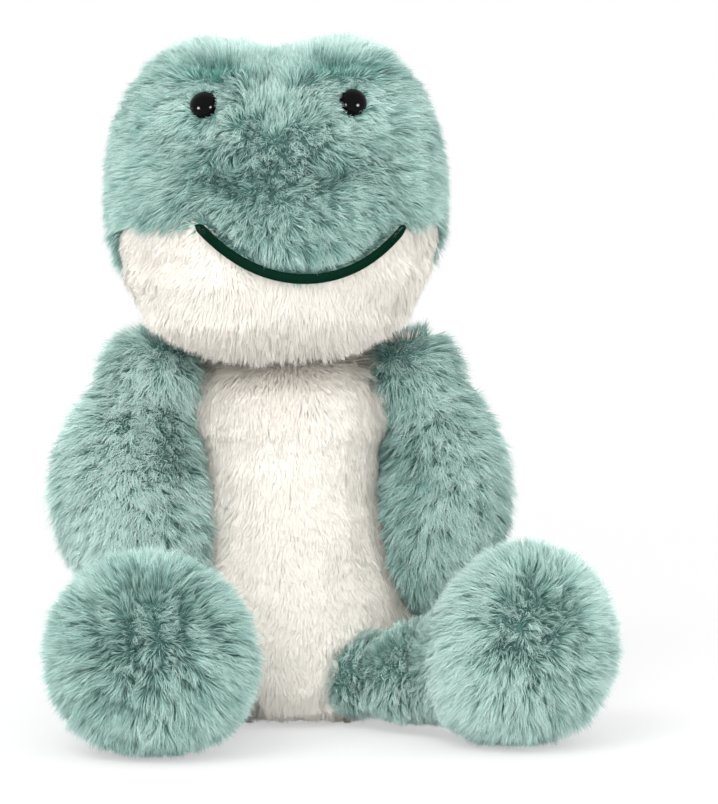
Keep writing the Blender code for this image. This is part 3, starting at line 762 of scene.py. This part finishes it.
def head_ways(roots, out, rel):
    """Which way the sage pile lies on the head, and how far it lies down."""
    count = len(roots)
    from_middle = roots[:, 0] - face_middle_x
    down = np.stack([rel[:, 0] * 11, np.full(count, 0.25), -0.75 - rel[:, 2] * 4], axis=1)
    up = np.stack([from_middle * 16, 0.2 + rel[:, 1] * 6, np.full(count, 0.8)], axis=1)
    rising = rise_share(roots)
    ways = unit(tangent(mixed(down, up, rising), out)) * (0.6 + 0.4 * np.abs(2 * rising - 1))
    ways = swirled(ways, out, roots, 0.030, 0.55, 31)
    muzzle = (face_middle_x, head_middle[1] - 0.05, 0.240)
    rough = bump(roots, muzzle, (0.055, 0.05, 0.028))[:, None]
    ways = mixed(ways, swirled(ways, out, roots, 0.007, 1.8, 34), 0.7 * rough)
    ways = ways * (1 - 0.25 * rough)
    for side, (top, _) in eyes.items():
        fold = folds[side]
        near = bump(roots, fold, (0.020, 0.03, 0.013))[:, None]
        over = smooth_step(roots[:, 2] - fold[2], -0.0008, 0.0008)[:, None]
        fan = np.stack([(roots[:, 0] - fold[0]) * 50, np.zeros(count), np.ones(count)], axis=1)
        droop = np.stack([from_middle * 40, np.zeros(count), np.full(count, -0.5)], axis=1)
        ways = ways * (1 - near) + unit(tangent(mixed(droop, fan, over), out)) * near
        gap = np.linalg.norm(roots - top, axis=1)
        close = (1 - smooth_step(gap, 0.007, 0.011))[:, None]
        off_eye = (roots - top) * np.array((1, 1, -0.35))
        ways = ways * (1 - close) + unit(tangent(off_eye, out)) * close * 0.5
        ways = mixed(ways, np.array((0, 0, -1)), lid_share(roots, top)[:, None])
    return ways


def head_pile():
    """Sage pile on the crown and cheeks, cream pile on the chin, both short and combed away by the mouth."""
    roots, out, random = rooted("head", STRANDS, 21)
    neck = joint_spot("head_turn")
    keep = np.linalg.norm(roots - neck, axis=1) > NECK_CLEAR
    for top, _ in eyes.values():
        keep &= np.linalg.norm((roots - top) * np.array((1, 1, 1.25)), axis=1) > EYE_CLEAR
    off_mouth = from_mouth(roots)
    mouth_gap = np.linalg.norm(off_mouth, axis=1)
    keep &= mouth_gap > MOUTH_CLEAR
    roots, out, off_mouth, mouth_gap = roots[keep], out[keep], off_mouth[keep], mouth_gap[keep]
    chin_gap = distances(CHIN_TREE, roots)
    crown_gap = distances(CROWN_TREE, roots)
    white = chin_gap - crown_gap + random.normal(size=len(roots)) * 0.0006 < 0
    by_mouth = (mouth_gap < MOUTH_REACH) & (np.abs(roots[:, 0] - MOUTH_MIDDLE) < MOUTH_HALF)
    white = np.where(by_mouth, off_mouth[:, 2] < 0, white)
    rel = roots - head_middle
    ways = head_ways(roots, out, rel)
    near_mouth = (1 - smooth_step(mouth_gap, 0.004, 0.010))[:, None]
    away = unit(tangent(off_mouth, out))
    ways = mixed(ways, away, near_mouth)
    length_share = 0.50 + 0.50 * smooth_step(mouth_gap, 0.004, 0.014)
    # Painted shade: the pile is tinted darker in the creases of the brow folds and in the dimples, and is
    # also shorter there.
    crease_shade_share = np.zeros(len(roots))
    eye_share = np.ones(len(roots))
    lids = np.zeros(len(roots))
    for side, (top, _) in eyes.items():
        lids = np.maximum(lids, lid_share(roots, top))
        gap = np.linalg.norm(roots - top, axis=1)
        eye_share = np.minimum(eye_share, 0.36 + 0.64 * smooth_step(gap, 0.007, 0.015))
        reach = np.where(roots[:, 2] > folds[side][2], 0.0029, 0.0022)
        fold_shade_radii = np.stack([np.full(len(roots), 0.0135), np.full(len(roots), 0.03), reach], axis=1)
        crease_shade_share = np.maximum(crease_shade_share, 1.25 * bump(roots, folds[side], fold_shade_radii))
        under_fold = smooth_step(folds[side][2] - roots[:, 2], 0.0005, 0.0025)
        under_fold = under_fold * bump(roots, top, (0.016, 0.03, 0.011))
        eye_share = np.minimum(eye_share, 1 - 0.4 * under_fold)
        crease_shade_share = np.maximum(crease_shade_share, 0.8 * bump(roots, dimples[side], (0.0070, 0.03, 0.0060)))
    # Painted light: the middle of the face, a stripe down its centre and the brow tops above the folds are
    # tinted lighter, where the light falls on them.
    ridge = bump(roots, (face_middle_x, head_middle[1] - 0.06, 0.272), (0.0035, 0.05, 0.020))
    between = bump(roots, (face_middle_x, head_middle[1] - 0.05, 0.274), (0.042, 0.05, 0.015))
    tint = 0.60 + 0.10 * waves(roots, 0.018, 41) + 0.10 * waves(roots, 0.006, 45)
    tint = tint + 0.10 * ridge + 0.30 * between
    tint = tint + 0.52 * smooth_step(roots[:, 2], folds["left"][2] + 0.004, folds["left"][2] + 0.011)
    tint = (tint - 0.80 * crease_shade_share) * (1 - lids) + 0.75 * lids
    dip_share = 1 - 0.35 * bump(roots, VALLEY, (0.015, 0.06, 0.02))
    length = HEAD_LENGTH * dip_share * eye_share * length_share * (1 - 0.30 * crease_shade_share)
    length = np.maximum(length, LID_LENGTH * lids)
    area = area_of(*skins["head"][:2])
    sage = ~white
    brow = np.maximum(*(bump(roots, folds[side], (0.020, 0.03, 0.012)) for side in eyes))[sage]
    style = style_of(
        roots[sage],
        ways[sage],
        length=length[sage],
        root_lean=np.radians((12 + 50 * brow) * (1 - lids[sage])),
        tip_lean=np.radians(58 + 20 * brow * (1 - lids[sage])),
        tint=tint[sage],
        area=area * sage.mean(),
        clump=0.0022,
        gather=0.40,
        speckle=0.18,
    )
    add_pile("head_sage_pile", "head", roots[sage], out[sage], style, sage_pile, random)
    down = np.stack([rel[:, 0] * 8, np.full(len(roots), 0.1), np.full(len(roots), -0.9)], axis=1)
    down = unit(tangent(down, out))
    down = swirled(down, out, roots, 0.030, 0.35, 32)
    hang = smooth_step(-out[:, 2], 0.45, 0.95)
    down = unit(mixed(down, away, near_mouth)) * (1 - 0.85 * hang)[:, None]
    jowl = smooth_step(JOWL_TOP - roots[:, 2], 0, JOWL_FADE)
    style = style_of(
        roots[white],
        down[white],
        length=((CHIN_LENGTH + JOWL_LENGTH * jowl) * length_share)[white],
        root_lean=math.radians(44),
        tip_lean=math.radians(82),
        tint=0.5 + 0.15 * waves(roots[white], 0.014, 42),
        area=area * white.mean(),
        clump_turn=0.15,
        clump_lean=0.08,
        stray=0.24,
        gather=0.08,
        **CREAM_COAT,
    )
    add_pile("head_cream_pile", "head", roots[white], out[white], style, cream_pile, random)


def torso_pile():
    """Cream pile on the belly and sage pile on the back, none under the seat or where a limb grows out."""
    roots, out, random = rooted("torso", TORSO_STRANDS, 22)
    keep = roots[:, 2] < TORSO_TOP
    for side in eyes:
        for limb, joint in ((side + "_arm", "_arm_lift"), (side + "_leg", "_leg_swing")):
            far = np.linalg.norm(roots - joint_spot(side + joint), axis=1) > LIMB_REACH
            keep &= far | (depths(limb, roots) < 0)
    keep &= ~rests(roots, out)
    roots, out = roots[keep], out[keep]
    white = distances(BELLY_TREE, roots) < distances(BACK_TREE, roots)
    area = area_of(*skins["torso"][:2])
    ways = np.stack([roots[:, 0] * 2, np.zeros(len(roots)), np.full(len(roots), -1.0)], axis=1)
    ways = unit(tangent(ways, out))
    ways = swirled(ways, out, roots, 0.030, 0.35, 33)
    low_share = 0.55 + 0.45 * smooth_step(roots[:, 2], 0.004, 0.016)
    neck_share = smooth_step(roots[:, 2], 0.150, 0.172)
    ways = ways * (1 - 0.85 * neck_share)[:, None]
    style = style_of(
        roots[white],
        ways[white],
        length=((BELLY_LENGTH + NECK_LENGTH * neck_share) * (0.7 + 0.3 * low_share))[white],
        root_lean=math.radians(48),
        tip_lean=math.radians(84),
        tint=0.5 + 0.2 * waves(roots[white] * np.array((1, 1, 0.4)), 0.010, 43),
        area=area * white.mean(),
        clump_turn=0.08,
        clump_lean=0.05,
        stray=0.16,
        gather=0.05,
        **CREAM_COAT,
    )
    add_pile("belly_pile", "torso", roots[white], out[white], style, cream_pile, random)
    sage = ~white
    style = style_of(
        roots[sage],
        ways[sage],
        length=BACK_LENGTH * low_share[sage],
        tint=0.45 + 0.15 * waves(roots[sage], 0.02, 44),
        area=area * sage.mean(),
    )
    add_pile("back_pile", "torso", roots[sage], out[sage], style, sage_pile, random)


def arm_pile(side, seed):
    """Sage pile combed from the shoulder down the arm, with painted shade on the inner side next to the body
    and painted light on the shoulder.
    """
    arm = side + "_arm"
    roots, out, random = rooted(arm, STRANDS, seed)
    pivot = joint_spot(arm + "_lift")
    points = skins[arm][0]
    tip = points[points[:, 2] < points[:, 2].min() + 0.01].mean(axis=0)
    along = unit(tip - pivot)
    keep = depths("torso", roots) < LIMB_SINK
    roots, out = roots[keep], out[keep]
    shoulder_share = smooth_step(roots[:, 2], pivot[2] - 0.02, pivot[2] + 0.015)[:, None]
    outwards = np.array((np.sign(pivot[0]), -0.15, 0))
    inner = smooth_step((points[:, 0].mean() - roots[:, 0]) * outwards[0], -0.008, 0.022)
    ways = unit(tangent(along + outwards * (0.15 + 1.1 * shoulder_share), out))
    ways = swirled(ways, out, roots, 0.035, 0.60, seed + 50)
    # Painted light and shade: one arm is tinted lighter than the other, and the inner side, next to the
    # body, is tinted darker where shade falls.
    tint = ARM_LIGHT_AND_SHADE_TINTS[side] - 0.26 * inner + 0.10 * waves(roots, 0.02, seed + 60)
    style = style_of(
        roots,
        ways,
        length=np.full(len(roots), ARM_LENGTH),
        tip_lean=math.radians(60),
        # Painted light: the pile over the shoulder is tinted lighter, where the light falls on it.
        tint=tint + 0.12 * shoulder_share[:, 0],
        area=area_of(*skins[arm][:2]),
        clump=0.0024,
        gather=0.40,
        speckle=0.18,
    )
    add_pile(arm + "_pile", arm, roots, out, style, sage_pile, random)


def leg_pile(side, seed):
    """Sage pile combed along the shin, and outwards from the middle of the sole."""
    leg = side + "_leg"
    roots, out, random = rooted(leg, STRANDS, seed)
    pivot = joint_spot(leg + "_swing")
    sole_points, _ = arrays_of(frame["nodes"][side + "_sole_panel"].data)
    along = unit((sole_points.mean(axis=0) - pivot) * np.array((1, 1, 0)))
    height = (roots - pivot) @ along
    keep = depths("torso", roots) < LIMB_SINK
    keep &= ~rests(roots, out)
    roots, out, height = roots[keep], out[keep], height[keep]
    top = height.max()
    foot_middle = pivot + along * (top - 0.036)
    foot_middle[2] = 0.040
    spoke = roots - foot_middle
    spoke = spoke - (spoke @ along)[:, None] * along
    radius = np.linalg.norm(spoke, axis=1)
    foot_share = smooth_step(height, top - 0.070, top - 0.040)[:, None]
    sole_share = smooth_step(height, top - 0.030, top - 0.010)[:, None]
    ways = along[None, :] * (0.9 - 1.1 * foot_share) + unit(spoke) * sole_share * 0.9
    ways[:, 2] -= (0.25 + 0.20 * sole_share)[:, 0]
    ways = unit(tangent(ways, out))
    flat = smooth_step(radius, 0.004, 0.034)
    ways = swirled(ways, out, roots, 0.035, 0.45, seed + 50)
    ways = ways * (1 - sole_share * (0.95 - 0.30 * flat[:, None]))
    ways = ways + tangent(np.array((0, 0, -0.28)) * sole_share, out)
    patches = np.stack([waves(roots, PATCH_SIZE, seed + i) for i in (70, 71, 72)], axis=1)
    ways = ways + tangent(patches, out) * PATCH_LEAN * sole_share
    low_share = 0.6 + 0.4 * smooth_step(roots[:, 2], 0.003, 0.020)
    shin_share = 1 - foot_share[:, 0]
    # Painted light and shade: one leg is tinted lighter than the other.
    tint = LEG_LIGHT_AND_SHADE_TINTS[side] + 0.10 * waves(roots, 0.02, seed + 60)
    style = style_of(
        roots,
        ways,
        length=(FOOT_LENGTH - SHIN_SHORTER * shin_share) * low_share,
        # Painted light and shade: the shin's pile is tinted lighter and the pile near the floor darker.
        tint=tint + 0.44 * shin_share + 0.7 * low_share - 0.55,
        area=area_of(*skins[leg][:2]),
        clump=0.0022,
        clump_lean=0.24,
        gather=0.40,
        speckle=0.18,
        root_lean=math.radians(8),
        tip_lean=math.radians(56),
    )
    add_pile(leg + "_pile", leg, roots, out, style, sage_pile, random)


# ---------------------------------------------------------------- mouth


def make_mouth():
    """Satin stitch: threads laid side by side across a bowed line."""
    spots = mouth_spots(STITCHES)
    along = unit(np.gradient(spots, axis=0))
    out = unit(tangent(unit((spots - head_middle) * np.array((0.9, 1, 0.9))), along))
    across = unit(np.cross(out, along))
    points, faces = [], []
    for i in range(STITCHES):
        end = min(i, STITCHES - 1 - i) / 4
        reach = STITCH_HALF * min(1, math.sqrt(max(0.12, 1 - max(0, 1 - end) ** 2)))
        base = len(points)
        for j in range(THREAD_STEPS + 1):
            turn = math.pi * (j / THREAD_STEPS - 0.5)
            spot = spots[i] + (across[i] * reach + along[i] * STITCH_SLANT) * math.sin(turn)
            spot = spot + out[i] * (STITCH_RISE * math.cos(turn) + STITCH_PROUD)
            bow = out[i] * (STITCH_RISE / STITCH_HALF) * math.sin(turn)
            normal = np.cross(unit(across[i] * math.cos(turn) - bow), along[i])
            for k in range(THREAD_SIDES):
                spin = 2 * math.pi * k / THREAD_SIDES
                points.append(spot + (along[i] * math.cos(spin) + normal * math.sin(spin)) * THREAD_RADIUS)
        for j in range(THREAD_STEPS):
            low, high = base + j * THREAD_SIDES, base + (j + 1) * THREAD_SIDES
            for k in range(THREAD_SIDES):
                m = (k + 1) % THREAD_SIDES
                faces.append((low + k, low + m, high + m, high + k))
        last = base + THREAD_STEPS * THREAD_SIDES
        faces.append(tuple(base + k for k in range(THREAD_SIDES)))
        faces.append(tuple(last + k for k in reversed(range(THREAD_SIDES))))
    made = new_piece("mouth_satin_stitch", points, faces, mouth_satin)
    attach(made, "head")
    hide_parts("mouth_stitching")


# ---------------------------------------------------------------- build

make_eye("left")
make_eye("right")
make_mouth()
head_pile()
torso_pile()
arm_pile("left", 23)
arm_pile("right", 24)
leg_pile("left", 25)
leg_pile("right", 26)
for node, material in (
    ("neck_thread", thread_cotton),
    ("left_eye_washer", washer_plastic),
    ("right_eye_washer", washer_plastic),
):
    frame["nodes"][node].data.materials.clear()
    frame["nodes"][node].data.materials.append(material)

# ---------------------------------------------------------------- stage


def seen_directly(nodes, links):
    """1 for what the camera, a gloss or a glass sees, and 0 for light that falls on the object."""
    path = nodes.new("ShaderNodeLightPath")
    total = path.outputs["Is Camera Ray"]
    for name in ("Is Glossy Ray", "Is Transmission Ray"):
        most = nodes.new("ShaderNodeMath")
        most.operation = "MAXIMUM"
        links.new(total, most.inputs[0])
        links.new(path.outputs[name], most.inputs[1])
        total = most.outputs["Value"]
    return total


def make_floor():
    """A white floor that keeps the soft shadow and fades into the white room."""
    floor_colour = plain_material("floor_white", (0.96, 0.96, 0.96), 0.9, 0.1)
    nodes, links = floor_colour.node_tree.nodes, floor_colour.node_tree.links
    glow = nodes.new("ShaderNodeEmission")
    spot = nodes.new("ShaderNodeTexCoord")
    reach = nodes.new("ShaderNodeVectorMath")
    reach.operation = "LENGTH"
    fade = nodes.new("ShaderNodeMapRange")
    fade.inputs["From Min"].default_value = FLOOR_FADE[0]
    fade.inputs["From Max"].default_value = FLOOR_FADE[1]
    fade.inputs["To Min"].default_value = 0.5
    seen = nodes.new("ShaderNodeMath")
    seen.operation = "MULTIPLY"
    mix = nodes.new("ShaderNodeMixShader")
    links.new(spot.outputs["Object"], reach.inputs[0])
    links.new(reach.outputs["Value"], fade.inputs["Value"])
    links.new(fade.outputs["Result"], seen.inputs[0])
    links.new(seen_directly(nodes, links), seen.inputs[1])
    links.new(seen.outputs["Value"], mix.inputs["Fac"])
    links.new(nodes["Principled BSDF"].outputs["BSDF"], mix.inputs[1])
    links.new(glow.outputs["Emission"], mix.inputs[2])
    links.new(mix.outputs["Shader"], nodes["Material Output"].inputs["Surface"])
    new_piece("floor", FLOOR_CORNERS, [(0, 1, 2, 3)], floor_colour)


def make_stage():
    make_floor()
    world = bpy.data.worlds.new("pale_room")
    world.use_nodes = True
    nodes, links = world.node_tree.nodes, world.node_tree.links
    strength = nodes.new("ShaderNodeMapRange")
    strength.inputs["To Min"].default_value = WORLD_LIGHT
    links.new(seen_directly(nodes, links), strength.inputs["Value"])
    nodes["Background"].inputs["Color"].default_value = (1, 1, 1, 1)
    links.new(strength.outputs["Result"], nodes["Background"].inputs["Strength"])
    bpy.context.scene.world = world
    for name, spot, aim, size, power in LAMPS + GLINT_LAMPS:
        light = bpy.data.lights.new(name, "AREA")
        light.shape = "DISK"
        light.size = size
        light.energy = power
        holder = link(bpy.data.objects.new(name, light))
        holder.location = spot
        holder.rotation_euler = (Vector(aim) - Vector(spot)).to_track_quat("-Z", "Y").to_euler()
        holder.visible_glossy = name.startswith("glint")
        holder.visible_diffuse = not holder.visible_glossy


def make_camera():
    camera = bpy.data.cameras.new("camera")
    camera.sensor_fit = "VERTICAL"
    camera.sensor_height = SENSOR_HEIGHT
    camera.lens = SENSOR_HEIGHT * CAMERA_DISTANCE / (PICTURE_HEIGHT * METRES_PER_PIXEL)
    camera.clip_end = 30
    holder = link(bpy.data.objects.new("camera", camera))
    away = Vector((0, -math.cos(CAMERA_ELEVATION), math.sin(CAMERA_ELEVATION)))
    holder.location = CAMERA_TARGET + away * CAMERA_DISTANCE
    holder.rotation_euler = (-away).to_track_quat("-Z", "Y").to_euler()
    bpy.context.scene.camera = holder
    bpy.context.scene.view_settings.view_transform = "Standard"


make_stage()
make_camera()
